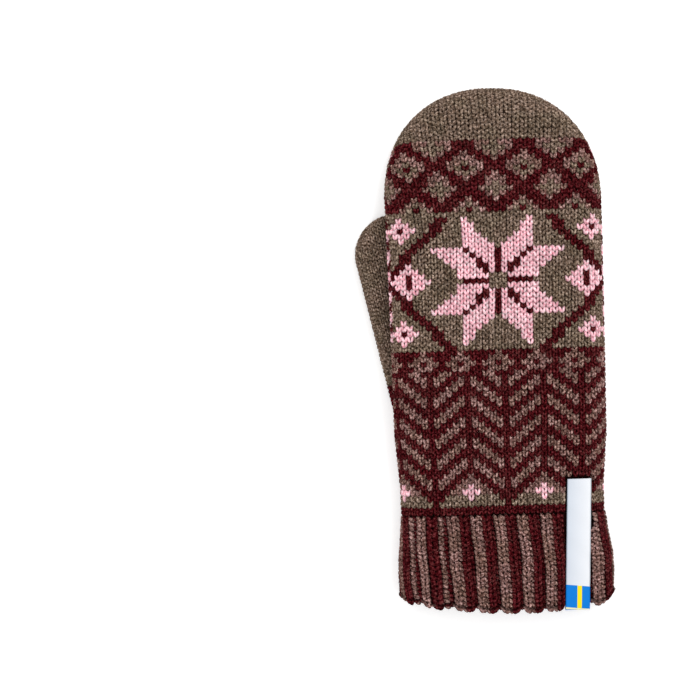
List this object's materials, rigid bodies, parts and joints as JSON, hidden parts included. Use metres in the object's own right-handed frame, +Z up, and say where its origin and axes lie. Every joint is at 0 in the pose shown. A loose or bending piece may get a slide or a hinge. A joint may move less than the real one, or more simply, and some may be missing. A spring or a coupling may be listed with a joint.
{
  "type": "wool mitten",
  "caption": "Right-hand knitted wool mitten with a ribbed cuff, rounded fingertips and a side thumb, lying flat on its palm, hollow and open at the wrist.",
  "frame": {"origin": "middle of the mitten's footprint, on the surface that it lies on", "axes": "+Y from the wrist towards the fingertips, +X towards the little finger's side, +Z up out of the back of the hand"},
  "size_m": [0.1268, 0.268, 0.0267],
  "materials": {
    "patterned_knit": "two-colour stranded wool knit, brushed and matt",
    "plain_knit": "plain heathered wool knit, matt",
    "ribbed_knit": "two-colour corrugated wool rib, matt",
    "woven_tape": "woven satin tape, slightly shiny"
  },
  "bodies": {
    "root": {"hand": "patterned_knit", "thumb": "plain_knit", "cuff": "ribbed_knit", "label": "woven_tape"}
  },
  "joints": []
}
